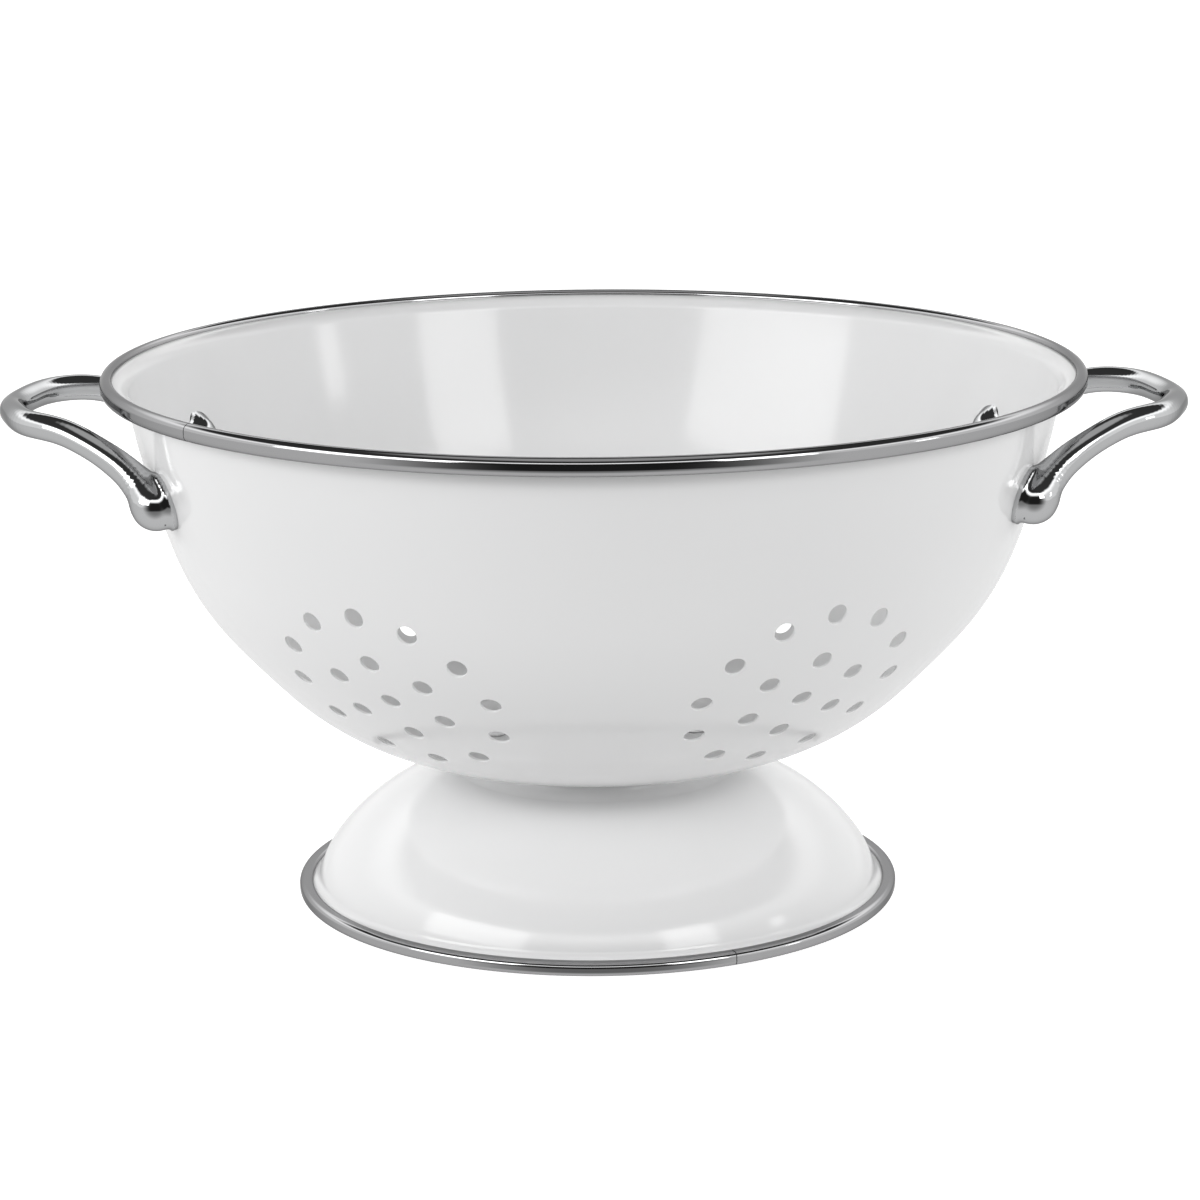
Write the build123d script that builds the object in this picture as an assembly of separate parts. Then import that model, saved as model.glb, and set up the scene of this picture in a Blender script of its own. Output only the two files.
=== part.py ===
from build123d import *

import math
import os

os.makedirs("parts", exist_ok=True)

# A footed colander. All sizes are in millimetres. The origin is the centre of the foot on the
# ground, +Z is up, and the two handles stand on +X and -X.

# Overall sizes
rim_diameter = 290.0
height = 160.0
foot_diameter = 181.0
foot_height = 44.0

# Coated sheet of the bowl and foot, strip of the two edge bands, and the play between pieces
sheet = 0.8
strip = 0.45
play = 0.15

# Rim band, rolled over the bowl's lip, with its butt joint
rim_band_width = 3.0
rim_band_height = 5.2
rim_band_corner = 2.0
rim_seam_angle = 219.5
seam_gap = 0.3

# Foot band, rolled over the foot's lip
foot_band_width = 3.9
foot_band_height = 4.0
foot_band_corner = 1.5
foot_seam_angle = 295.8

# Bowl: flat floor, then tangent arcs through points given as shares of the span from the floor's
# edge to the wall's top, and of the depth between them
floor_radius = 37.5
lip_reach = 7.5
lip_height = 5.5
bowl_shares = ((0.576, 0.214), (0.723, 0.354), (0.878, 0.588), (1.0, 1.0))

# Foot: flange under the bowl's floor, short neck, and a dome through points given as shares of the
# way from the shoulder to the ground and to the foot's edge
neck_radius = 39.3
neck_bend = 0.85
neck_fillet = 4.0
neck_flange = 3.8
shoulder_drop = 6.6
shoulder_slope = 10.0
skirt_inset = 6.3
skirt_height = 5.5
dome_shares = ((0.891, 0.718), (1.0, 1.0))

# Drain holes, in rosettes of a centre hole and rings, pierced along each rosette's own axis. The
# height of those in the wall is a share of the bowl's depth. There are so many holes that each is
# eight-sided, with the area of its round hole.
hole_diameter = 5.8
hole_sides = 8
ring_radii = (16.0, 31.4)
ring_counts = (6, 12)
ring_turns = (30.0, 0.0)
rosette_height_share = 0.3394
rosette_angles = (58.3, 121.7, 238.3, 301.7)
floor_rosette_turn = -13.0
floor_rosette_margin = 1.0

# Handles: cast bar between two bosses, each with a thin pad on the bowl's wall. Pads and tip lie
# below the rim. The bar's curve is followed by many short stretches of one many-sided section.
bar_diameter = 7.8
bar_sides = 16
bar_stretches = 16
handle_reach = 26.8
tip_drop = 12.0
pad_angle = 22.5
pad_drop = 30.2
boss_diameter = 14.4
boss_lift = 3.0
pad_width = 15.2
pad_length = 17.0
pad_thickness = 1.3
bar_shares = (
    (0.165, 0.911, 0.416),
    (0.423, 0.795, 0.816),
    (0.613, 0.688, 0.978),
    (0.814, 0.543, 1.02),
    (0.941, 0.281, 1.02),
)
# Bar width on its way from a boss to the tip, as shares of the way and of the bar's diameter
taper_shares = ((0.0, 1.72), (0.07, 1.4), (0.15, 1.15), (0.3, 1.0), (1.0, 1.0))

# Rivets through the wall into the bosses
rivet_head_diameter = 12.0
rivet_head_height = 3.8
shank_diameter = 5.0
shank_depth = 7.0

# Turned profiles follow their arcs in chords, which leave the arc by this gap at most
facet_gap = 0.25

# Length by which cutters run past what they cut
overrun = 2.0

rim_radius = rim_diameter / 2
foot_radius = foot_diameter / 2
bowl_depth = height - lip_height - foot_height
rosette_height = foot_height + rosette_height_share * bowl_depth
pad_height = height - pad_drop


def unit(angle):
    """Direction at an angle in degrees, in the plane of a profile."""
    return math.cos(math.radians(angle)), math.sin(math.radians(angle))


def walk(start, heading, steps, offset):
    """Points of a line of straights and arcs, moved by offset to the left of the line.

    A step is a length and a zero turn, or a radius and a turn in degrees to the left.
    """
    x, z = start
    left = unit(heading + 90)
    points = [(x + offset * left[0], z + offset * left[1])]
    for size, turn in steps:
        if turn == 0:
            ahead = unit(heading)
            x, z = x + size * ahead[0], z + size * ahead[1]
            points.append((x + offset * left[0], z + offset * left[1]))
        else:
            side = math.copysign(1, turn)
            chord_turn = 2 * math.degrees(math.acos(1 - min(facet_gap / size, 1)))
            chords = math.ceil(abs(turn) / chord_turn)
            centre = (x + side * size * left[0], z + side * size * left[1])
            for _ in range(chords):
                heading += turn / chords
                left = unit(heading + 90)
                reach = offset - side * size
                points.append((centre[0] + reach * left[0], centre[1] + reach * left[1]))
            x, z = centre[0] - side * size * left[0], centre[1] - side * size * left[1]
    return points


def arcs_through(start, heading, points):
    """Steps of tangent arcs from start through the points."""
    steps = []
    for point in points:
        chord = math.dist(start, point)
        slope = math.degrees(math.atan2(point[1] - start[1], point[0] - start[0]))
        turn = 2 * (slope - heading)
        radius = chord / 2 / math.sin(math.radians(abs(turn) / 2))
        steps.append((radius, turn))
        heading += turn
        start = point
    return steps


def turned(points):
    """Solid turned about the Z axis from a closed outline."""
    return revolve(make_face(Plane.XZ * Polyline(*points, close=True)), Axis.Z, 360)


def turned_sheet(start, heading, steps, thickness):
    """Body of revolution of a sheet whose one face follows the steps."""
    near = walk(start, heading, steps, 0)
    far = walk(start, heading, steps, thickness)
    return turned(near + far[::-1])


def bowl_points():
    """Ends of the arcs of the bowl's outer profile."""
    span = rim_radius - lip_reach - floor_radius
    return [(floor_radius + out * span, foot_height + up * bowl_depth) for out, up in bowl_shares]


def bowl_steps():
    """Straights and arcs of the bowl's outer profile, from its axis to the end of its lip."""
    steps = [(floor_radius, 0)]
    steps += arcs_through((floor_radius, foot_height), 0, bowl_points())
    slope = sum(turn for _, turn in steps)
    top_radius, top_height = bowl_points()[-1]
    lip_level = height - strip - play - sheet
    flare = (lip_level - top_height) / (1 - unit(slope)[0])
    lip_bend = rim_band_corner - strip - play - sheet
    lip_radius = rim_radius - strip - play - sheet
    flange = lip_radius - lip_bend - top_radius - flare * unit(slope)[1]
    skirt_end = height - rim_band_height + rim_band_corner
    steps += [(flare, -slope), (flange, 0), (lip_bend, -90)]
    steps.append((lip_level - lip_bend - skirt_end, 0))
    return steps


def wall_at(level):
    """Radius of the bowl's outer face at a level, and its slope from the horizontal in degrees."""
    start, heading = (floor_radius, foot_height), 0
    for (radius, turn), end in zip(arcs_through(start, heading, bowl_points()), bowl_points()):
        if level <= end[1]:
            left = unit(heading + 90)
            centre = (start[0] + radius * left[0], start[1] + radius * left[1])
            slope = math.degrees(math.acos((centre[1] - level) / radius))
            return centre[0] + radius * unit(slope)[1], slope
        start, heading = end, heading + turn


def wall_plane(level, angle):
    """Plane on the bowl's outer face: z outward along the normal, y up the wall."""
    radius, slope = wall_at(level)
    around, up = unit(angle), unit(slope)
    origin = (radius * around[0], radius * around[1], level)
    normal = (up[1] * around[0], up[1] * around[1], -up[0])
    sideways = (-around[1], around[0], 0)
    return Plane(origin=origin, x_dir=sideways, z_dir=normal)


def bowl_filled(offset):
    """The bowl's outer shape up to its wall's top, filled to the axis and grown by offset."""
    steps = [(floor_radius, 0)] + arcs_through((floor_radius, foot_height), 0, bowl_points())
    points = walk((0, foot_height), 0, steps, -offset)
    return turned(points + [(0, points[-1][1])])


def even_sided(width, sides):
    """Regular outline with the area of a circle of the width."""
    corner = math.tau / sides
    return RegularPolygon(width / 2 * math.sqrt(corner / math.sin(corner)), sides)


def rosette_places(turn):
    """Places of the holes of one rosette, in its own plane."""
    places = [(0, 0)]
    for radius, count, start in zip(ring_radii, ring_counts, ring_turns):
        for number in range(count):
            along = unit(turn + start + number * 360 / count)
            places.append((radius * along[0], radius * along[1]))
    return places


def rosette_cutters(plane, turn, depth, limit):
    """Pins for the holes of one rosette that lie within the limit of its centre."""
    pin = extrude(even_sided(hole_diameter, hole_sides), depth, both=True)
    places = [place for place in rosette_places(turn) if math.hypot(*place) <= limit]
    return [plane * Pos(*place, 0) * pin for place in places]


def rivet_angles():
    """Angles of the rivets around the colander."""
    return pad_angle, -pad_angle, 180 - pad_angle, 180 + pad_angle


def make_bowl():
    """Pressed bowl with its turned lip, drain holes and rivet holes."""
    body = turned_sheet((0, foot_height), 0, bowl_steps(), sheet)
    pins = []
    reach = ring_radii[-1] + hole_diameter
    bulge = reach * reach / 2 / min(radius for radius, turn in bowl_steps() if turn > 0)
    depth = bulge + sheet + overrun
    for angle in rosette_angles:
        pins += rosette_cutters(wall_plane(rosette_height, angle), 0, depth, reach)
    floor = Plane(origin=(0, 0, foot_height))
    room = floor_radius - hole_diameter / 2 - floor_rosette_margin
    pins += rosette_cutters(floor, floor_rosette_turn, depth, room)
    bore = Cylinder(shank_diameter / 2 + play, sheet * 2 + overrun * 2)
    for angle in rivet_angles():
        pins.append(wall_plane(pad_height, angle) * bore)
    return body - pins


def make_foot():
    """Pressed foot: flange under the bowl's floor, neck, dome, and a lip for its band."""
    shoulder = (neck_radius + neck_fillet * (1 - unit(shoulder_slope)[1]), foot_height - shoulder_drop)
    skirt = (foot_radius - skirt_inset, skirt_height)
    fall = shoulder[1] - skirt[1]
    points = []
    for out, down in dome_shares:
        points.append((shoulder[0] + out * (skirt[0] - shoulder[0]), shoulder[1] - down * fall))
    dome = arcs_through(shoulder, -shoulder_slope, points)
    end_slope = shoulder_slope - sum(turn for _, turn in dome)
    lip_level = foot_band_height - strip - play
    flare = (skirt_height - lip_level) / (1 - unit(end_slope)[0])
    neck = shoulder_drop - neck_bend - neck_fillet * unit(shoulder_slope)[0]
    lip_radius = foot_radius - strip - play
    lip_bend = foot_band_corner - strip - play
    flange = lip_radius - lip_bend - skirt[0] - flare * unit(end_slope)[1]
    steps = [(neck_flange - neck_bend, 0), (neck_bend, -90), (neck, 0)]
    steps += [(neck_fillet, 90 - shoulder_slope)] + dome
    steps += [(flare, end_slope), (flange, 0), (lip_bend, -90)]
    steps.append((lip_level - lip_bend - foot_band_corner, 0))
    return turned_sheet((neck_radius - neck_flange, foot_height), 0, steps, -sheet)


def make_band(radius, top, width, tall, corner, seam_angle):
    """Strip rolled to a channel that is open to the inside, with a butt joint."""
    leg = width - corner
    steps = [(leg, 0), (corner, -90), (tall - corner * 2, 0), (corner, -90), (leg, 0)]
    ring = turned_sheet((radius - width, top), 0, steps, -strip)
    joint = Box(width + overrun * 2, seam_gap, tall + overrun * 2)
    return ring - Rot(0, 0, seam_angle) * Pos(radius - width / 2, 0, top - tall / 2) * joint


def bar_points(plane):
    """Points of the bar's centre line from one boss to the other, for the handle on +X."""
    boss = plane.origin + plane.z_dir * boss_lift
    tip = Vector(rim_radius + handle_reach, 0, height - tip_drop)
    half = [boss]
    for out, side, up in bar_shares:
        x = boss.X + out * (tip.X - boss.X)
        z = boss.Z + up * (tip.Z - boss.Z)
        half.append(Vector(x, side * boss.Y, z))
    return half + [tip] + [Vector(point.X, -point.Y, point.Z) for point in reversed(half)]


def bar_width(way):
    """Width of the bar at a share of its length, as a share of its diameter."""
    from_boss = 2 * min(way, 1 - way)
    for (start, thick), (end, thin) in zip(taper_shares, taper_shares[1:]):
        if from_boss <= end:
            return thick + (thin - thick) * (from_boss - start) / (end - start)


def make_bar(plane):
    """Cast bar of a handle, thicker where it grows out of its bosses."""
    path = Spline(bar_points(plane))
    sections = []
    for number in range(bar_stretches + 1):
        way = number / bar_stretches
        ahead = path % way
        across = Plane(origin=path @ way, x_dir=Vector(0, 0, 1).cross(ahead), z_dir=ahead)
        sections.append(across * even_sided(bar_diameter * bar_width(way), bar_sides))
    return loft(sections, ruled=True)


def make_handle():
    """Handle on +X: bar, bosses and pads in one casting, bored blind for the rivets."""
    pad = extrude(Ellipse(pad_width / 2, pad_length / 2), pad_thickness, both=True)
    half_round = walk((0, -boss_diameter / 2), 0, [(boss_diameter / 2, 180)], 0)
    boss = Pos(0, 0, boss_lift) * turned(half_round)
    bore = Pos(0, 0, shank_depth / 2) * Cylinder(shank_diameter / 2 + play, shank_depth)
    body = make_bar(wall_plane(pad_height, pad_angle))
    for angle in (pad_angle, -pad_angle):
        plane = wall_plane(pad_height, angle)
        body += plane * pad + plane * boss
        body -= plane * bore
    return body - bowl_filled(play)


def make_rivets():
    """The four rivets: domed heads seated on the wall's inner face, shanks into the bosses."""
    head_radius = rivet_head_diameter / 2
    dome_radius = (head_radius ** 2 + rivet_head_height ** 2) / 2 / rivet_head_height
    dome_turn = math.degrees(math.asin(head_radius / dome_radius))
    crown = -sheet - play - rivet_head_height
    outline = walk((0, crown), 0, [(dome_radius, dome_turn)], 0)
    head = turned(outline + [(head_radius, 0), (0, 0)])
    room = bowl_filled(-sheet - play)
    shank = Cylinder(shank_diameter / 2, shank_depth - play + sheet + play * 2,
                     align=(Align.CENTER, Align.CENTER, Align.MAX))
    rivets = []
    for angle in rivet_angles():
        place = wall_plane(pad_height, angle)
        rivets.append((place * head & room) + place * Pos(0, 0, shank_depth - play) * shank)
    return Compound(rivets)


def write(name, shape):
    """Write one node's file."""
    shape.label = name
    export_step(shape, f"parts/{name}.step")


write("bowl", make_bowl())
write("foot", make_foot())
write("rim_band", make_band(rim_radius, height, rim_band_width, rim_band_height, rim_band_corner,
                            rim_seam_angle))
write("foot_band", make_band(foot_radius, foot_band_height, foot_band_width, foot_band_height,
                             foot_band_corner, foot_seam_angle))
right_handle = make_handle()
write("right_handle", right_handle)
write("left_handle", Rot(0, 0, 180) * right_handle)
write("handle_rivets", make_rivets())
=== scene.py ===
import math
from collections import namedtuple

import bmesh
import bpy
import numpy as np
from mathutils import Matrix, Vector
from mathutils.geometry import delaunay_2d_cdt


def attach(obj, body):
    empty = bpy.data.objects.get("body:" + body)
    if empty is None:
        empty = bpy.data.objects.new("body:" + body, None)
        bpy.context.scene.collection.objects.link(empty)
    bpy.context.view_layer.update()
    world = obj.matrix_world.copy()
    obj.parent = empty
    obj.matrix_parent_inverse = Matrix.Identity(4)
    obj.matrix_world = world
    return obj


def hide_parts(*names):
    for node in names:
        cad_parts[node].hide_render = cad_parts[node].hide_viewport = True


# The colander's own sizes, in millimetres, with the origin at the centre of the foot on the ground
rim_radius = 145.0
height = 160.0
foot_radius = 90.5
foot_height = 44.0
sheet = 0.8
strip = 0.45
play = 0.15

# Bands rolled over the lips of the bowl and the foot: width, height, bends of the outer corners and of
# the inner edge, how far that edge turns down, and the angle of the butt joint, with the joints' gap
rim_band = {"width": 3.7, "tall": 5.2, "corner": 2.0, "bead": 1.4, "drop": 1.6, "seam": 219.5}
foot_band = {"width": 4.1, "tall": 4.0, "corner": 1.5, "bead": 0.9, "drop": 1.0, "seam": 295.8}
seam_gap = 0.3

# How far a band's inner edge sinks into the enamel of its lip, so that no gap shows
tuck = 0.05

# Bowl: flat floor, then tangent arcs through points given as shares of its span and depth
floor_radius = 37.5
lip_reach = 7.5
lip_height = 5.5
bowl_shares = ((0.576, 0.214), (0.723, 0.354), (0.878, 0.588), (1.0, 1.0))

# Foot: flange, neck, and a dome through points given as shares of its way out and down
neck_radius = 39.3
neck_bend = 0.85
neck_fillet = 4.0
neck_flange = 3.8
shoulder_drop = 6.6
shoulder_slope = 10.0
skirt_inset = 6.3
skirt_height = 5.5
dome_shares = ((0.891, 0.718), (1.0, 1.0))

# Drain holes in rosettes, with the soft edge that the coat gives each hole
hole_radius = 2.9
hole_edge = 0.3
hole_points = 28
edge_steps = 3
ring_radii = (16.0, 31.4)
ring_counts = (6, 12)
ring_turns = (30.0, 0.0)
rosette_height = 81.5
rosette_angles = (58.3, 121.7, 238.3, 301.7)
floor_rosette_turn = -13.0

# Patch of the wall's mesh round a rosette: its margin along the wall, the room from a hole to the
# next point of the wall, the rounds that slide a hole's ring onto the wall, and how near is the same
patch_margin = 1.5
hole_room = 0.7
slide_rounds = 8
same_point = 1e-7

# Handles: bar, round bosses and oval pads. The bar's points are shares of the way out from a boss to
# the tip, of the boss's place sideways, and of the way up to the tip. Its taper is shares of its
# radius at shares of the way to its middle, smoothed over a window of points
bar_diameter = 7.8
handle_reach = 26.8
tip_height = 148.0
pad_angle = 22.5
pad_height = 129.8
boss_radius = 7.2
boss_lift = 3.0
pad_half_width = 7.6
pad_half_length = 8.5
pad_thickness = 1.3
pad_sink = 0.48
pad_rounding = 0.35
bar_shares = ((0.165, 0.911, 0.416), (0.423, 0.795, 0.816), (0.613, 0.688, 0.978),
              (0.814, 0.543, 1.02), (0.941, 0.281, 1.02))
taper_shares = ((0.0, 1.72), (0.07, 1.4), (0.15, 1.15), (0.3, 1.0), (1.0, 1.0))
taper_window = 7
bar_points = 97
bar_blend = 2.0
pad_blend = 2.2

# Casting's mesh: sides of its rough tube, rings and last latitude of its rough balls, size of a voxel,
# and the rounds, longest step and probe for the slope that draw it onto the true surface
rough_sides = 24
rough_rings = 16
rough_pole = 88
cast_grain = 0.55
draw_rounds = 4
draw_reach = 0.5
draw_probe = 0.01

# Rivet heads on the wall's inner face: the crown's share of the dome's turn, the bend at its edge,
# how far the head sinks into the wall, the points round it and the gap at its pole
rivet_radius = 6.0
rivet_rise = 3.8
rivet_crown_share = 0.93
rivet_edge = 0.4
rivet_sink = 0.5
rivet_points = 48
pole_gap = 0.001

# Enamel: tones, gloss and refraction, the noise of its clouds and ripple, and the ripple's bump
enamel_tones = ((0.84, 0.842, 0.845), (0.87, 0.871, 0.872))
enamel_rough = 0.12
enamel_ior = 1.52
cloud_noise = {"Scale": 14.0, "Detail": 2.0, "Roughness": 0.5}
ripple_noise = {"Scale": 55.0, "Detail": 1.0, "Roughness": 0.4}
ripple_bump = {"Strength": 0.02, "Distance": 0.002}

# Metals: tone, mean roughness, and the scale and strength of their waves. Then what they share: the
# waves' noise and height, the noise and spread of their gloss, and the tint of a grazing reflection
metals = {
    "band_steel": ((0.42, 0.42, 0.425), 0.07, 90.0, 0.02),
    "chrome_plate": ((0.54, 0.545, 0.55), 0.05, 60.0, 0.03),
}
wave_noise = {"Detail": 1.0, "Roughness": 0.4}
wave_distance = 0.001
haze_noise = {"Scale": 220.0, "Detail": 3.0, "Roughness": 0.6}
gloss_spread = 0.3
edge_tone = 0.4

# The camera of the photograph: its frame and focal length in pixels, its sensor in millimetres, its
# place in metres and its angles in radians
image_size = 1200
focal_pixels = 3859.03
sensor_width = 36.0
camera_place = Vector((0.0, -1.12546, 0.35502))
camera_pitch = 0.2329
camera_roll = -0.0076
camera_yaw = 0.0012

# Studio: glow at the sines of elevation, all round and in front. A direction whose way along -Y passes
# the first of front_reach sees the front's levels, which fade out to the second
studio_levels = (
    (-0.05, 0.84), (0.02, 1.1), (0.3, 1.1), (0.5, 1.92), (0.62, 0.05), (0.87, 0.05), (0.95, 0.55),
)
front_levels = (
    (-0.35, 0.28), (-0.2, 0.02), (0.3, 0.02), (0.5, 2.4), (0.62, 0.02), (0.87, 0.05), (0.95, 0.55),
)
front_reach = (0.95, 0.5)

# Soft panels as azimuth and elevation in degrees, distance, width and height in metres, and glow, and
# the share of the colander's height that they face
soft_boxes = {
    "panel_left": (-142, 20, 1.6, 1.25, 0.58, 3.3),
    "panel_right": (-52, 20, 1.6, 0.6, 0.58, 3.6),
    "strip_right": (-13, 12, 1.6, 0.17, 0.22, 3.6),
}
panel_aim_share = 0.7

# Floor: half its side in metres, its tone and roughness, and its own glow
floor_half = 30
floor_tone = 0.9
floor_rough = 0.9
floor_glow = 0.7

# Fineness of the turned surfaces: steps round, and the gap between a chord and its arc, with the most
# that it may be of a small arc's radius
around = 240
chord_gap = 0.01
chord_gap_share = 0.1

# One millimetre in metres
metres = 0.001


def unit(angle):
    """Direction at an angle in degrees."""
    return np.array((math.cos(math.radians(angle)), math.sin(math.radians(angle))))


def circle(count):
    """Points evenly round the unit circle."""
    turns = np.arange(count) * math.tau / count
    return np.stack([np.cos(turns), np.sin(turns)], axis=1)


def lengths_along(points):
    """Way from the first point to each point of a line."""
    return np.concatenate([[0], np.cumsum(np.linalg.norm(np.diff(points, axis=0), axis=1))])


def walk(start, heading, steps, offset=0.0):
    """Points along straights (length, 0) and arcs (radius, turn), and the left at each point.

    The points are moved to the left by offset."""
    place = np.array(start, float)
    left = unit(heading + 90)
    points, lefts = [place + offset * left], [left]
    for size, turn in steps:
        if turn == 0:
            place = place + size * unit(heading)
            points.append(place + offset * left)
            lefts.append(left)
        else:
            side = math.copysign(1, turn)
            centre = place + side * size * left
            chord_turn = 2 * math.degrees(math.acos(1 - min(chord_gap / size, chord_gap_share)))
            chords = math.ceil(abs(turn) / chord_turn)
            for _ in range(chords):
                heading += turn / chords
                left = unit(heading + 90)
                points.append(centre + (offset - side * size) * left)
                lefts.append(left)
            place = centre - side * size * left
    return np.array(points), np.array(lefts)


def arcs_through(start, heading, points):
    """Steps of tangent arcs from start through the points."""
    steps = []
    for point in points:
        slope = math.degrees(math.atan2(point[1] - start[1], point[0] - start[0]))
        turn = 2 * (slope - heading)
        radius = math.dist(start, point) / 2 / math.sin(math.radians(abs(turn) / 2))
        steps.append((radius, turn))
        heading += turn
        start = point
    return steps


def bowl_steps():
    """Steps of the bowl's outer profile after its floor, up to the wall's top, and its lip."""
    span = rim_radius - lip_reach - floor_radius
    depth = height - lip_height - foot_height
    ends = [(floor_radius + out * span, foot_height + up * depth) for out, up in bowl_shares]
    wall = arcs_through((floor_radius, foot_height), 0, ends)
    slope = sum(turn for _, turn in wall)
    lip_level = height - rim_band["drop"] + tuck - sheet
    lip_bend = rim_band["corner"] - strip - play - sheet
    flare = (lip_level - ends[-1][1]) / (1 - unit(slope)[0])
    flange = rim_radius - strip - play - sheet - lip_bend - ends[-1][0] - flare * unit(slope)[1]
    skirt = lip_level - lip_bend - (height - rim_band["tall"] + rim_band["corner"])
    return wall, [(flare, -slope), (flange, 0), (lip_bend, -90), (skirt, 0)]


def foot_steps():
    """Steps of the foot's outer profile, from the flange's inner edge to the lip's end."""
    fillet = unit(shoulder_slope)
    shoulder = (neck_radius + neck_fillet * (1 - fillet[1]), foot_height - shoulder_drop)
    skirt = (foot_radius - skirt_inset, skirt_height)
    ends = [(shoulder[0] + out * (skirt[0] - shoulder[0]), shoulder[1] - down * (shoulder[1] - skirt[1]))
            for out, down in dome_shares]
    dome = arcs_through(shoulder, -shoulder_slope, ends)
    slope = shoulder_slope - sum(turn for _, turn in dome)
    lip_level = foot_band["tall"] - foot_band["drop"] + tuck
    lip_bend = foot_band["corner"] - strip - play
    flare = (skirt_height - lip_level) / (1 - unit(slope)[0])
    flange = foot_radius - strip - play - lip_bend - skirt[0] - flare * unit(slope)[1]
    neck = shoulder_drop - neck_bend - neck_fillet * fillet[0]
    steps = [(neck_flange - neck_bend, 0), (neck_bend, -90), (neck, 0)]
    steps += [(neck_fillet, 90 - shoulder_slope)] + dome
    lip = [(flare, slope), (flange, 0), (lip_bend, -90), (lip_level - lip_bend - foot_band["corner"], 0)]
    return steps + lip


class Skin:
    """Points with their own normals, and faces, gathered for one mesh. Sizes are in millimetres."""

    def __init__(self):
        self.points = []
        self.normals = []
        self.faces = []
        self.count = 0

    def add_points(self, points, normals):
        """Add points of any grid shape, and return their numbers in that shape."""
        shape = points.shape[:-1]
        self.points.append(points.reshape(-1, 3))
        self.normals.append(normals.reshape(-1, 3))
        numbers = np.arange(self.count, self.count + int(np.prod(shape))).reshape(shape)
        self.count += numbers.size
        return numbers

    def add_faces(self, numbers, closed, kept=None):
        """Join a grid of points, row to row, by four-sided faces. Closed rows run round.

        Where kept is given, only the faces that it marks are made."""
        across = np.roll(numbers, -1, axis=1) if closed else numbers[:, 1:]
        near = numbers if closed else numbers[:, :-1]
        quads = np.stack([near[:-1], across[:-1], across[1:], near[1:]], axis=-1)
        if kept is not None:
            quads = quads[kept]
        self.faces += quads.reshape(-1, 4).tolist()

    def add_grid(self, points, normals, closed):
        """Add a grid of points with its faces."""
        self.add_faces(self.add_points(points, normals), closed)

    def add_capped(self, points, normals):
        """Add closed rings of points with their faces, and a face over each end."""
        numbers = self.add_points(points, normals)
        self.add_faces(numbers, True)
        self.faces += [numbers[0].tolist(), numbers[-1].tolist()]

    def object(self, name, material):
        """The finished mesh object, with every face turned to its normals."""
        points = np.concatenate(self.points)
        normals = np.concatenate(self.normals)
        normals /= np.linalg.norm(normals, axis=1, keepdims=True)
        first = np.array([face[:3] for face in self.faces])
        a, b, c = points[first[:, 0]], points[first[:, 1]], points[first[:, 2]]
        outward = (np.cross(b - a, c - a) * normals[first].sum(axis=1)).sum(axis=1) >= 0
        faces = [face if right else face[::-1] for face, right in zip(self.faces, outward)]
        mesh = bpy.data.meshes.new(name)
        mesh.from_pydata((points * metres).tolist(), [], faces)
        mesh.shade_smooth()
        mesh.normals_split_custom_set_from_vertices(normals.tolist())
        mesh.materials.append(material)
        piece = bpy.data.objects.new(name, mesh)
        bpy.context.collection.objects.link(piece)
        return piece


def spun(profile, directions, angles):
    """Points and normals of a profile turned to each of the angles in degrees, a row per point."""
    turn = np.radians(angles)[None, :]
    out, up = profile[:, :1], profile[:, 1:]
    points = np.stack([out * np.cos(turn), out * np.sin(turn), up + 0 * turn], axis=-1)
    out, up = directions[:, :1], directions[:, 1:]
    normals = np.stack([out * np.cos(turn), out * np.sin(turn), up + 0 * turn], axis=-1)
    return points, normals


def wall_plane(level, angle):
    """Origin, sideways, upward and outward directions of the plane on the wall's outer face."""
    wall, _ = bowl_steps()
    profile, lefts = walk((floor_radius, foot_height), 0, wall)
    radius = np.interp(level, profile[:, 1], profile[:, 0])
    normal = np.array([np.interp(level, profile[:, 1], lefts[:, k]) for k in (0, 1)])
    normal = -normal / np.linalg.norm(normal)
    out, side = unit(angle), unit(angle + 90)
    outward = np.array((normal[0] * out[0], normal[0] * out[1], normal[1]))
    sideways = np.array((side[0], side[1], 0.0))
    return np.array((radius * out[0], radius * out[1], level)), sideways, np.cross(outward, sideways), outward


# Rings round the holes of a rosette on one face: the rosette's plane, and the points' numbers in the
# skin, places and normals
Rings = namedtuple("Rings", "plane numbers points normals")


def rosette_centres(turn):
    """Places of the holes of one rosette in its plane."""
    places = [np.zeros(2)]
    for radius, count, start in zip(ring_radii, ring_counts, ring_turns):
        places += [radius * unit(turn + start + number * 360 / count) for number in range(count)]
    return np.array(places)


def onto_profile(points, axis, profile, directions):
    """Slide points along the axis onto a turned surface: places, normals and profile positions."""
    lengths = lengths_along(profile)
    starts, spans = profile[:-1], np.diff(profile, axis=0)
    for _ in range(slide_rounds):
        radii = np.hypot(points[:, 0], points[:, 1])
        flat = np.stack([radii, points[:, 2]], axis=1)
        away = flat[:, None, :] - starts[None]
        share = np.clip((away * spans[None]).sum(-1) / (spans ** 2).sum(-1)[None], 0, 1)
        gaps = away - share[..., None] * spans[None]
        nearest = np.argmin((gaps ** 2).sum(-1), axis=1)
        pick = np.arange(len(points))
        part = share[pick, nearest]
        way = directions[nearest] * (1 - part)[:, None] + directions[nearest + 1] * part[:, None]
        way /= np.linalg.norm(way, axis=1, keepdims=True)
        out_x, out_y = way[:, 0] * points[:, 0] / radii, way[:, 0] * points[:, 1] / radii
        normals = np.stack([out_x, out_y, way[:, 1]], axis=1)
        height_off = (gaps[pick, nearest] * way).sum(-1)
        points = points - (height_off / (normals @ axis))[:, None] * axis
    places = lengths[nearest] + part * np.diff(lengths)[nearest]
    return points, normals, places


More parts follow.
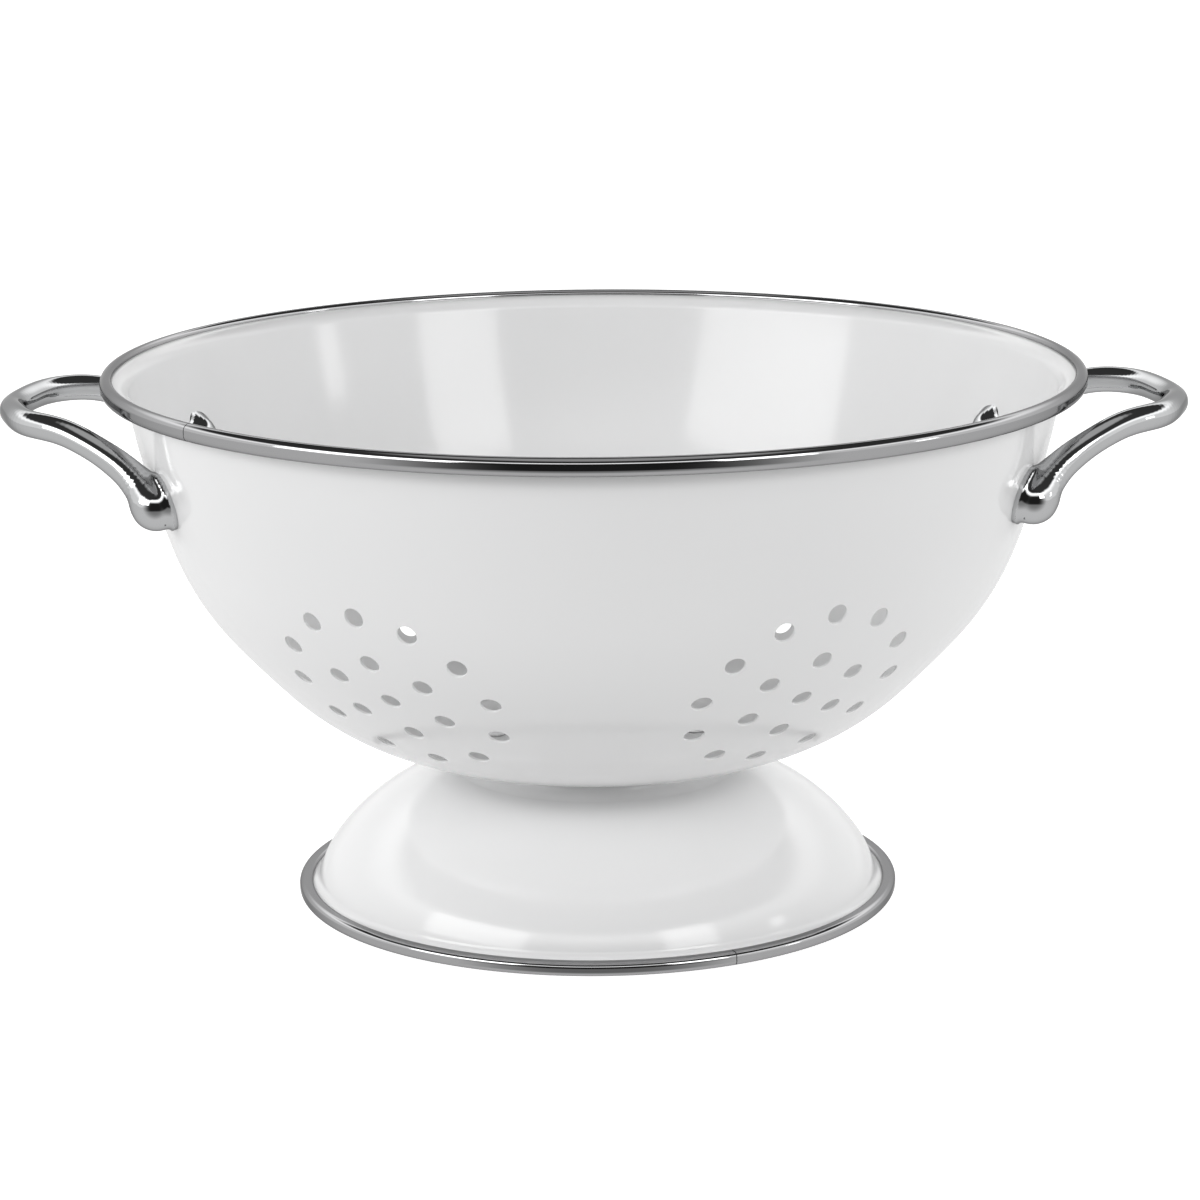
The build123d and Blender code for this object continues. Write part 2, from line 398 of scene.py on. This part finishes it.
def hole_loops(plane, turn, profile, directions, radius):
    """Ring of points round each hole of a rosette, where its pin meets a turned surface.

    Returns places, normals and profile positions."""
    origin, sideways, upward, outward = plane
    flat = (rosette_centres(turn)[:, None, :] + circle(hole_points)[None] * radius).reshape(-1, 2)
    start = origin + flat[:, :1] * sideways + flat[:, 1:] * upward
    return onto_profile(start, outward, profile, directions)


def stitch(skin, grid_numbers, grid_flat, loops_numbers, loops_flat, inner_numbers, inner_flat):
    """Fill the flat region between a closed outline and the holes in it with triangles.

    Each kind of point comes as its numbers in the skin and its places in the flat region: the outline,
    the rings round the holes, and single points between them."""
    numbers = np.concatenate([grid_numbers, loops_numbers.reshape(-1), inner_numbers])
    flat = np.concatenate([grid_flat, loops_flat.reshape(-1, 2), inner_flat])
    edges = [(k, (k + 1) % len(grid_numbers)) for k in range(len(grid_numbers))]
    base = len(grid_numbers)
    hole_of = np.full(len(numbers), -1)
    for hole in range(len(loops_numbers)):
        first = base + hole * hole_points
        hole_of[first:first + hole_points] = hole
        edges += [(first + k, first + (k + 1) % hole_points) for k in range(hole_points)]
    found = delaunay_2d_cdt([Vector(p) for p in flat], edges, [], 0, same_point)
    origins = [source[0] for source in found[3]]
    for face in found[2]:
        corners = [origins[v] for v in face]
        holes = {hole_of[c] for c in corners}
        if len(holes) > 1 or -1 in holes:
            skin.faces.append([int(numbers[c]) for c in corners])


def patch_cells(lengths, places, turned, angle):
    """First and last row, and the columns, of the wall's grid that a rosette with its margin takes."""
    step = 360 / around
    first = int(math.floor((angle + turned.min()) / step)) - 1
    last = int(math.ceil((angle + turned.max()) / step)) + 1
    low = int(np.searchsorted(lengths, places.min() - patch_margin)) - 1
    high = int(np.searchsorted(lengths, places.max() + patch_margin))
    return low, high, np.arange(first, last + 1)


def patch_outline(low, high, width):
    """Row and column in the patch of each point round its outline, in order."""
    outline = [(low, c) for c in range(width)] + [(r, width - 1) for r in range(low + 1, high + 1)]
    outline += [(high, c) for c in range(width - 2, -1, -1)] + [(r, 0) for r in range(high - 1, low, -1)]
    return outline


def patch_inside(low, high, grid, plane):
    """Row and column of each grid point within the patch that keeps clear of the holes."""
    origin, sideways, upward, _ = plane
    centres = rosette_centres(0)
    inside = []
    for r in range(low + 1, high):
        for c in range(1, grid.shape[1] - 1):
            point = grid[r, c] - origin
            flat = np.array((point @ sideways, point @ upward))
            if np.linalg.norm(centres - flat, axis=1).min() > hole_radius + hole_edge + hole_room:
                inside.append((r, c))
    return inside


def perforated_side(skin, profile, directions):
    """One side of the bowl's wall with its rosettes. Returns its grid's numbers and each rosette's rings."""
    points, normals = spun(profile, directions, np.arange(around) * 360 / around)
    numbers = skin.add_points(points, normals)
    lengths = lengths_along(profile)
    kept = np.ones((len(profile) - 1, around), bool)
    rings = []
    for angle in rosette_angles:
        plane = wall_plane(rosette_height, angle)
        loop, loop_normals, places = hole_loops(plane, 0, profile, directions, hole_radius + hole_edge)
        turned = np.degrees(np.arctan2(loop[:, 1], loop[:, 0])) - angle
        turned = (turned + 180) % 360 - 180
        reach = np.hypot(loop[:, 0], loop[:, 1]).mean()
        low, high, columns = patch_cells(lengths, places, turned, angle)
        kept[low:high, columns[:-1] % around] = False
        shape = (-1, hole_points, 3)
        loop_numbers = skin.add_points(loop.reshape(shape), loop_normals.reshape(shape))
        loop_flat = np.stack([np.radians(turned) * reach, places], axis=1).reshape(-1, hole_points, 2)
        across = np.radians(columns * (360 / around) - angle) * reach
        outline = patch_outline(low, high, len(columns))
        inside = patch_inside(low, high, points[:, columns % around], plane)
        cells = []
        for rows_columns in (outline, inside):
            r, c = np.array(rows_columns).T
            cells.append((numbers[r, columns[c] % around], np.stack([across[c], lengths[r]], axis=1)))
        stitch(skin, *cells[0], loop_numbers, loop_flat, *cells[1])
        rings.append(Rings(plane, loop_numbers, loop, loop_normals))
    skin.add_faces(numbers, True, kept)
    return numbers, rings


def floor_side(skin, edge_numbers, level, up):
    """One side of the bowl's flat floor with its rosette. Returns the rosette's rings."""
    across, along, upright = np.eye(3)
    plane = (foot_height * upright, across, along, upright)
    ring = circle(hole_points) * (hole_radius + hole_edge)
    flat = rosette_centres(floor_rosette_turn)[:, None, :] + ring[None]
    loop = np.concatenate([flat, np.full(flat.shape[:2] + (1,), level)], axis=2)
    loop_normals = np.zeros_like(loop)
    loop_normals[..., 2] = up
    numbers = skin.add_points(loop, loop_normals)
    edge_flat = circle(around) * floor_radius
    stitch(skin, edge_numbers, edge_flat, numbers, flat, np.array([], int), np.zeros((0, 2)))
    return Rings(plane, numbers, loop.reshape(-1, 3), loop_normals.reshape(-1, 3))


def hole_walls(skin, outer, inner, bare_outer, bare_inner):
    """Soft edges and bore of every hole of a rosette, between its rings on both sides.

    The bare rings are where the bore would meet each face if its edge were sharp."""
    _, sideways, upward, outward = outer.plane
    shape = (-1, hole_points, 3)
    ring = circle(hole_points)
    inward = -(ring[:, :1] * sideways + ring[:, 1:] * upward)
    sides = []
    for side, bare, way in ((outer, bare_outer, -hole_edge), (inner, bare_inner, hole_edge)):
        edge, normals, corner = side.points.reshape(shape), side.normals.reshape(shape), bare.reshape(shape)
        deep = corner + way * outward
        rows = []
        for step in range(1, edge_steps + 1):
            share = step / edge_steps
            place = (1 - share) ** 2 * edge + 2 * share * (1 - share) * corner + share ** 2 * deep
            angle = share * math.pi / 2
            rows.append((place, math.cos(angle) * normals + math.sin(angle) * inward))
        sides.append(rows)
    rows = sides[0] + sides[1][::-1]
    for hole in range(len(outer.numbers)):
        places, normals = (np.array([row[kind][hole] for row in rows]) for kind in (0, 1))
        numbers = skin.add_points(places, normals)
        numbers = np.concatenate([outer.numbers[hole][None], numbers, inner.numbers[hole][None]])
        skin.add_faces(numbers, True)


def make_bowl(material):
    """Enamelled bowl with its lip and drain holes."""
    skin = Skin()
    wall, lip = bowl_steps()
    outer_profile, outer_lefts = walk((floor_radius, foot_height), 0, wall + lip)
    inner_profile, inner_lefts = walk((floor_radius, foot_height), 0, wall + lip, sheet)
    outer_numbers, outer_rings = perforated_side(skin, outer_profile, -outer_lefts)
    inner_numbers, inner_rings = perforated_side(skin, inner_profile, inner_lefts)
    for outer, inner in zip(outer_rings, inner_rings):
        bare_outer = hole_loops(outer.plane, 0, outer_profile, -outer_lefts, hole_radius)[0]
        bare_inner = hole_loops(outer.plane, 0, inner_profile, inner_lefts, hole_radius)[0]
        hole_walls(skin, outer, inner, bare_outer, bare_inner)
    below = floor_side(skin, outer_numbers[0], foot_height, -1)
    above = floor_side(skin, inner_numbers[0], foot_height + sheet, 1)
    shrink = hole_radius / (hole_radius + hole_edge)
    centres = np.repeat(rosette_centres(floor_rosette_turn), hole_points, axis=0)
    bare = []
    for side in (below, above):
        flat = centres + (side.points[:, :2] - centres) * shrink
        bare.append(np.concatenate([flat, side.points[:, 2:]], axis=1))
    hole_walls(skin, below, above, *bare)
    skin.add_faces(np.stack([outer_numbers[-1], inner_numbers[-1]]), True)
    return skin.object("enamel_bowl", material)


def add_sheet(skin, start, heading, steps, thickness, ends, angles, closed):
    """Turn a sheet's profile about the middle, with both faces and both edges. Returns its outlines."""
    outer, lefts = walk(start, heading, steps)
    inner, _ = walk(start, heading, steps, -thickness)
    skin.add_grid(*spun(outer, lefts, angles), closed)
    skin.add_grid(*spun(inner, -lefts, angles), closed)
    for end, way in zip((0, -1), ends):
        edge = np.array([outer[end], inner[end]])
        skin.add_grid(*spun(edge, np.array([way, way]), angles), closed)
    return outer, inner


def make_foot(material):
    """Enamelled foot."""
    skin = Skin()
    start = (neck_radius - neck_flange, foot_height)
    ends = ((-1.0, 0.0), (0.0, -1.0))
    angles = np.arange(around) * 360 / around
    add_sheet(skin, start, 0, foot_steps(), sheet, ends, angles, closed=True)
    return skin.object("enamel_foot", material)


def make_band(name, radius, top, band, material):
    """Strip rolled to a bead over the lip, with its inner edge turned down to it, and a butt joint."""
    skin = Skin()
    start = (radius - band["width"], top - band["drop"])
    leg = band["width"] - band["corner"]
    corner = (band["corner"], -90)
    steps = [(band["drop"] - band["bead"], 0), (band["bead"], -90), (leg - band["bead"], 0), corner]
    steps += [(band["tall"] - band["corner"] * 2, 0), corner, (leg, 0)]
    ends = ((0.0, -1.0), (-1.0, 0.0))
    half_gap = math.degrees(seam_gap / 2 / radius)
    angles = np.linspace(band["seam"] + half_gap, band["seam"] + 360 - half_gap, around + 1)
    outer, inner = add_sheet(skin, start, 90, steps, strip, ends, angles, closed=False)
    section = np.stack([outer, inner], axis=1).reshape(-1, 2)
    for end, way in ((0, -1), (-1, 1)):
        face, _ = spun(section, np.ones_like(section), angles[[end]])
        face = face.reshape(len(outer), 2, 3)
        side = np.append(unit(angles[end] + 90) * way, 0)
        skin.add_grid(face, np.broadcast_to(side, face.shape).copy(), closed=False)
    return skin.object(name, material)


def smooth_line(points, count):
    """Natural cubic curve through points, sampled evenly in its own measure."""
    points = np.array(points)
    knots = lengths_along(points)
    gaps = np.diff(knots)
    size = len(points)
    system = np.eye(size)
    right = np.zeros_like(points)
    for k in range(1, size - 1):
        system[k, k - 1:k + 2] = gaps[k - 1], 2 * (gaps[k - 1] + gaps[k]), gaps[k]
        right[k] = 6 * ((points[k + 1] - points[k]) / gaps[k] - (points[k] - points[k - 1]) / gaps[k - 1])
    bends = np.linalg.solve(system, right)
    where = np.linspace(0, knots[-1], count)
    part = np.clip(np.searchsorted(knots, where, side="right") - 1, 0, size - 2)
    gap = gaps[part][:, None]
    after, before = (where - knots[part])[:, None], (knots[part + 1] - where)[:, None]
    return (bends[part] * before ** 3 + bends[part + 1] * after ** 3) / 6 / gap \
        + (points[part] / gap - bends[part] * gap / 6) * before \
        + (points[part + 1] / gap - bends[part + 1] * gap / 6) * after


def bar_line():
    """Centre line of the right handle's bar and its radius at each point."""
    origin, _, _, outward = wall_plane(pad_height, pad_angle)
    boss = origin + boss_lift * outward
    tip = np.array((rim_radius + handle_reach, 0, tip_height))
    half = [boss]
    for out, side, up in bar_shares:
        place = (boss[0] + out * (tip[0] - boss[0]), side * boss[1], boss[2] + up * (tip[2] - boss[2]))
        half.append(np.array(place))
    mirrored = [point * (1, -1, 1) for point in reversed(half)]
    line = smooth_line(half + [tip] + mirrored, bar_points)
    way = lengths_along(line)
    way = 2 * np.minimum(way, way[-1] - way) / way[-1]
    shares = np.interp(way, [s for s, _ in taper_shares], [w for _, w in taper_shares])
    kernel = np.hanning(taper_window) / np.hanning(taper_window).sum()
    shares = np.convolve(np.pad(shares, taper_window // 2, mode="edge"), kernel, mode="valid")
    return line, shares * bar_diameter / 2


def blended(near, far, width):
    """Smooth union of two distances."""
    mix = np.clip(0.5 + 0.5 * (far - near) / width, 0, 1)
    return far * (1 - mix) + near * mix - width * mix * (1 - mix)


def bar_distance(points, line, radii):
    """Distance of points to a round bar with a radius at each point of its line."""
    best = np.full(len(points), np.inf)
    for start, span, first, last in zip(line[:-1], np.diff(line, axis=0), radii[:-1], radii[1:]):
        share = np.clip((points - start) @ span / (span @ span), 0, 1)
        away = np.linalg.norm(points - start - share[:, None] * span, axis=1)
        best = np.minimum(best, away - first - (last - first) * share)
    return best


def pad_distance(points, plane):
    """Distance of points to an oval pad with rounded edges, which sinks a little into the wall."""
    origin, sideways, upward, outward = plane
    away = points - origin
    oval = np.hypot(away @ sideways / pad_half_width, away @ upward / pad_half_length)
    rim = (oval - 1) * min(pad_half_width, pad_half_length) + pad_rounding
    middle = (pad_thickness - pad_sink) / 2
    lift = np.abs(away @ outward - middle) - (pad_thickness + pad_sink) / 2 + pad_rounding
    rounded = np.hypot(np.maximum(rim, 0), np.maximum(lift, 0)) - pad_rounding
    return rounded + np.minimum(np.maximum(rim, lift), 0)


def cast_distance(points, line, radii, planes):
    """Distance of points to the surface of the right handle's casting."""
    best = bar_distance(points, line, radii)
    for plane in planes:
        origin, _, _, outward = plane
        ball = np.linalg.norm(points - origin - boss_lift * outward, axis=1) - boss_radius
        best = blended(blended(ball, pad_distance(points, plane), pad_blend), best, bar_blend)
    return best


def add_rough_bar(skin, line, radii):
    """Add a closed tube along a line."""
    ahead = np.gradient(line, axis=0)
    ahead /= np.linalg.norm(ahead, axis=1, keepdims=True)
    level = np.cross(np.array((0, 0, 1.0)), ahead)
    level /= np.linalg.norm(level, axis=1, keepdims=True)
    rise = np.cross(ahead, level)
    cosines, sines = circle(rough_sides).T
    way = cosines[None, :, None] * level[:, None] + sines[None, :, None] * rise[:, None]
    skin.add_capped(line[:, None] + way * radii[:, None, None], way)


def add_rough_boss(skin, plane):
    """Add the ball and the plate of one boss and its pad."""
    origin, sideways, upward, outward = plane
    cosines, sines = circle(rough_sides).T[..., None]
    latitudes = np.radians(np.linspace(-rough_pole, rough_pole, rough_rings))[:, None, None]
    way = np.cos(latitudes) * (cosines * sideways + sines * upward)[None] + np.sin(latitudes) * outward
    skin.add_capped(origin + boss_lift * outward + boss_radius * way, way)
    rim = cosines * pad_half_width * sideways + sines * pad_half_length * upward
    plate = np.stack([origin + rim - pad_sink * outward, origin + rim + pad_thickness * outward])
    skin.add_capped(plate, np.broadcast_to(rim, plate.shape).copy())


def remeshed(skin):
    """Closed solids of a skin as the mesh of one even skin round them all."""
    mesh = bpy.data.meshes.new("rough")
    mesh.from_pydata((np.concatenate(skin.points) * metres).tolist(), [], skin.faces)
    shell = bmesh.new()
    shell.from_mesh(mesh)
    bmesh.ops.recalc_face_normals(shell, faces=shell.faces)
    shell.to_mesh(mesh)
    shell.free()
    source = bpy.data.objects.new("rough", mesh)
    bpy.context.collection.objects.link(source)
    remesh = source.modifiers.new("remesh", "REMESH")
    remesh.mode = "VOXEL"
    remesh.voxel_size = cast_grain * metres
    graph = bpy.context.evaluated_depsgraph_get()
    even = bpy.data.meshes.new_from_object(source.evaluated_get(graph))
    bpy.data.objects.remove(source)
    return even


def cast_mesh():
    """Right handle's casting, a fine skin drawn onto the smooth union of bar, bosses and pads.

    Returns the mesh and the normal at each of its points."""
    line, radii = bar_line()
    planes = [wall_plane(pad_height, angle) for angle in (pad_angle, -pad_angle)]
    rough = Skin()
    add_rough_bar(rough, line, radii)
    for plane in planes:
        add_rough_boss(rough, plane)
    casting = remeshed(rough)
    points = np.zeros(len(casting.vertices) * 3)
    casting.vertices.foreach_get("co", points)
    points = points.reshape(-1, 3) / metres
    for _ in range(draw_rounds):
        middle = cast_distance(points, line, radii, planes)
        probes = [points + draw_probe * axis for axis in np.eye(3)]
        slopes = [cast_distance(probe, line, radii, planes) - middle for probe in probes]
        normals = np.stack(slopes, axis=1)
        normals /= np.linalg.norm(normals, axis=1, keepdims=True)
        points = points - np.clip(middle, -draw_reach, draw_reach)[:, None] * normals
    casting.vertices.foreach_set("co", (points * metres).reshape(-1))
    return casting, normals


def make_handle(name, casting, normals, sides, material):
    """Handle from the casting, or its like on the other side of the colander."""
    mesh = casting.copy()
    mesh.name = name
    mesh.transform(Matrix.Diagonal((*sides, 1, 1)))
    mesh.shade_smooth()
    mesh.normals_split_custom_set_from_vertices((normals * (*sides, 1)).tolist())
    mesh.materials.clear()
    mesh.materials.append(material)
    piece = bpy.data.objects.new(name, mesh)
    bpy.context.collection.objects.link(piece)
    return piece


def make_rivets(material):
    """Domed heads of the four rivets on the wall's inner face."""
    skin = Skin()
    dome = (rivet_radius ** 2 + rivet_rise ** 2) / 2 / rivet_rise
    crown = math.degrees(math.asin(rivet_radius / dome)) * rivet_crown_share
    profile, lefts = walk((pole_gap, rivet_rise), 0, [(dome, -crown), (rivet_edge, -(90 - crown))])
    profile = profile * (rivet_radius / profile[-1, 0], 1)
    profile = np.vstack([profile, [rivet_radius, -rivet_sink]])
    lefts = np.vstack([lefts, [1.0, 0.0]])
    points, normals = spun(profile, lefts, np.arange(rivet_points) * 360 / rivet_points)
    for angle in (pad_angle, -pad_angle, 180 - pad_angle, 180 + pad_angle):
        origin, sideways, upward, outward = wall_plane(pad_height, angle)
        basis = np.stack([sideways, upward, -outward])
        skin.add_grid(points @ basis + origin - sheet * outward, normals @ basis, closed=True)
    return skin.object("rivet_heads", material)


def make_material(name):
    """New material, with its shader and its node tree."""
    material = bpy.data.materials.new(name)
    material.use_nodes = True
    tree = material.node_tree
    return material, tree.nodes["Principled BSDF"], tree


def add_node(tree, kind, **values):
    """Node of a kind, with its inputs set by name."""
    node = tree.nodes.new(kind)
    for key, value in values.items():
        node.inputs[key].default_value = value
    return node


def add_noise(tree, place, **values):
    """Noise through the piece's own space."""
    noise = add_node(tree, "ShaderNodeTexNoise", **values)
    tree.links.new(place.outputs["Object"], noise.inputs["Vector"])
    return noise


def add_bump(tree, shader, noise, **values):
    """Let a noise raise and lower the shader's surface."""
    bump = add_node(tree, "ShaderNodeBump", **values)
    tree.links.new(noise.outputs["Fac"], bump.inputs["Height"])
    tree.links.new(bump.outputs["Normal"], shader.inputs["Normal"])


def make_enamel():
    """Fired white enamel: glossy, with the faint ripple of the coat and a trace of tone."""
    material, shader, tree = make_material("white_enamel")
    place = add_node(tree, "ShaderNodeTexCoord")
    add_bump(tree, shader, add_noise(tree, place, **ripple_noise), **ripple_bump)
    cloud = add_noise(tree, place, **cloud_noise)
    tone = add_node(tree, "ShaderNodeValToRGB")
    for stop, colour in zip(tone.color_ramp.elements, enamel_tones):
        stop.color = (*colour, 1)
    tree.links.new(cloud.outputs["Fac"], tone.inputs["Fac"])
    tree.links.new(tone.outputs["Color"], shader.inputs["Base Color"])
    shader.inputs["Roughness"].default_value = enamel_rough
    shader.inputs["IOR"].default_value = enamel_ior
    return material


def make_metal(name, tone, rough, wave_scale, wave_strength):
    """Bright metal with a slight waviness and a fine variation of gloss."""
    material, shader, tree = make_material(name)
    place = add_node(tree, "ShaderNodeTexCoord")
    wave = add_noise(tree, place, Scale=wave_scale, **wave_noise)
    add_bump(tree, shader, wave, Strength=wave_strength, Distance=wave_distance)
    haze = add_noise(tree, place, **haze_noise)
    gloss = add_node(tree, "ShaderNodeMapRange")
    gloss.inputs["To Min"].default_value = rough * (1 - gloss_spread)
    gloss.inputs["To Max"].default_value = rough * (1 + gloss_spread)
    tree.links.new(haze.outputs["Fac"], gloss.inputs["Value"])
    tree.links.new(gloss.outputs["Result"], shader.inputs["Roughness"])
    shader.inputs["Base Color"].default_value = (*tone, 1)
    shader.inputs["Specular Tint"].default_value = (edge_tone, edge_tone, edge_tone, 1)
    shader.inputs["Metallic"].default_value = 1.0
    return material


def make_camera():
    """Camera at the photograph's viewing point."""
    ahead = Vector((math.sin(camera_yaw) * math.cos(camera_pitch),
                    math.cos(camera_yaw) * math.cos(camera_pitch), -math.sin(camera_pitch)))
    right = ahead.cross(Vector((0, 0, 1))).normalized()
    up = right.cross(ahead)
    turned_right = math.cos(camera_roll) * right + math.sin(camera_roll) * up
    turned_up = math.cos(camera_roll) * up - math.sin(camera_roll) * right
    turn = Matrix((turned_right, turned_up, -ahead)).transposed().to_4x4()
    data = bpy.data.cameras.new("camera")
    data.sensor_width = sensor_width
    data.lens = focal_pixels / image_size * sensor_width
    camera = bpy.data.objects.new("camera", data)
    camera.matrix_world = Matrix.Translation(camera_place) @ turn
    bpy.context.collection.objects.link(camera)
    bpy.context.scene.camera = camera


def ramp_place(sine):
    """Place of a sine on a ramp that runs from -1 to 1."""
    return (sine + 1) / 2


def add_levels(tree, levels):
    """Ramp of the studio's glow by the sine of elevation."""
    ramp = add_node(tree, "ShaderNodeValToRGB")
    ramp.color_ramp.interpolation = "EASE"
    stops = ramp.color_ramp.elements
    while len(stops) < len(levels):
        stops.new(ramp_place(0))
    for stop, (sine, glow) in zip(stops, levels):
        stop.position = ramp_place(sine)
        stop.color = (glow, glow, glow, 1)
    return ramp


def make_world():
    """Studio all round the colander: pale walls under a dim ceiling, and its own levels in front."""
    world = bpy.data.worlds.new("studio")
    bpy.context.scene.world = world
    world.use_nodes = True
    tree = world.node_tree
    place = add_node(tree, "ShaderNodeTexCoord")
    parts = add_node(tree, "ShaderNodeSeparateXYZ")
    tree.links.new(place.outputs["Generated"], parts.inputs[0])
    level = add_node(tree, "ShaderNodeMapRange")
    level.inputs["From Min"].default_value = -1.0
    tree.links.new(parts.outputs["Z"], level.inputs["Value"])
    front = add_node(tree, "ShaderNodeMapRange")
    front.interpolation_type = "SMOOTHSTEP"
    front.inputs["From Min"].default_value = -front_reach[0]
    front.inputs["From Max"].default_value = -front_reach[1]
    tree.links.new(parts.outputs["Y"], front.inputs["Value"])
    share = add_node(tree, "ShaderNodeMix")
    share.data_type = "RGBA"
    tree.links.new(front.outputs["Result"], share.inputs["Factor"])
    for side, levels in (("A", front_levels), ("B", studio_levels)):
        ramp = add_levels(tree, levels)
        tree.links.new(level.outputs["Result"], ramp.inputs["Fac"])
        socket = next(s for s in share.inputs if s.name == side and s.type == "RGBA")
        tree.links.new(ramp.outputs["Color"], socket)
    result = next(s for s in share.outputs if s.type == "RGBA")
    tree.links.new(result, tree.nodes["Background"].inputs["Color"])


def make_soft_box(name, azimuth, elevation, distance, wide, tall, glow):
    """Even white panel light that faces the colander from an azimuth and an elevation."""
    data = bpy.data.lights.new(name, "AREA")
    data.shape = "RECTANGLE"
    data.size = wide
    data.size_y = tall
    data.energy = glow * math.pi * wide * tall
    out = unit(elevation)[0] * unit(azimuth)
    way = Vector((out[0], out[1], unit(elevation)[1]))
    panel = bpy.data.objects.new(name, data)
    panel.location = Vector((0, 0, height * metres * panel_aim_share)) + way * distance
    panel.rotation_euler = way.to_track_quat("Z", "Y").to_euler()
    bpy.context.collection.objects.link(panel)


def make_floor():
    """Plain pale floor with a glow of its own, which lights nothing and shows to the camera only."""
    floor = bpy.data.objects.new("floor", bpy.data.meshes.new("floor"))
    corners = [(x * floor_half, y * floor_half, 0) for x, y in ((-1, -1), (1, -1), (1, 1), (-1, 1))]
    floor.data.from_pydata(corners, [], [(0, 1, 2, 3)])
    bpy.context.collection.objects.link(floor)
    material, shader, _ = make_material("pale_floor")
    shader.inputs["Base Color"].default_value = (floor_tone, floor_tone, floor_tone, 1)
    shader.inputs["Roughness"].default_value = floor_rough
    shader.inputs["Specular IOR Level"].default_value = 0.0
    shader.inputs["Emission Color"].default_value = (1, 1, 1, 1)
    shader.inputs["Emission Strength"].default_value = floor_glow
    floor.data.materials.append(material)
    floor.visible_glossy = False
    floor.visible_diffuse = False
    floor.visible_shadow = False


def put(piece, slot, *nodes):
    """Let a piece stand for CAD nodes, which are hidden, and ride on the one body."""
    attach(piece, "root")
    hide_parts(*nodes)


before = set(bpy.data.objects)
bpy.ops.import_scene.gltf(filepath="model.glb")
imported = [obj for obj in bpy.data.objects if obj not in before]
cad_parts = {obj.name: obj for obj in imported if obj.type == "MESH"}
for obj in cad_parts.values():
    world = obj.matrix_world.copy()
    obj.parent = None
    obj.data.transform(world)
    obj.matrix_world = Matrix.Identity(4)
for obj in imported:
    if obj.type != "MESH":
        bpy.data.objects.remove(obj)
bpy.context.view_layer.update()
make_camera()
make_world()
make_floor()
for name, panel in soft_boxes.items():
    make_soft_box(name, *panel)
enamel = make_enamel()
band_steel, chrome = [make_metal(name, *finish) for name, finish in metals.items()]
put(make_bowl(enamel), "white_enamel", "bowl")
put(make_foot(enamel), "white_enamel", "foot")
put(make_band("rim_strip", rim_radius, height, rim_band, band_steel), "steel_band", "rim_band")
put(make_band("foot_strip", foot_radius, foot_band["tall"], foot_band, band_steel), "steel_band", "foot_band")
casting, cast_normals = cast_mesh()
put(make_handle("right_casting", casting, cast_normals, (1, 1), chrome), "chromed_casting", "right_handle")
put(make_handle("left_casting", casting, cast_normals, (-1, -1), chrome), "chromed_casting", "left_handle")
put(make_rivets(chrome), "rivet_steel", "handle_rivets")
bpy.context.scene.view_settings.view_transform = "Standard"
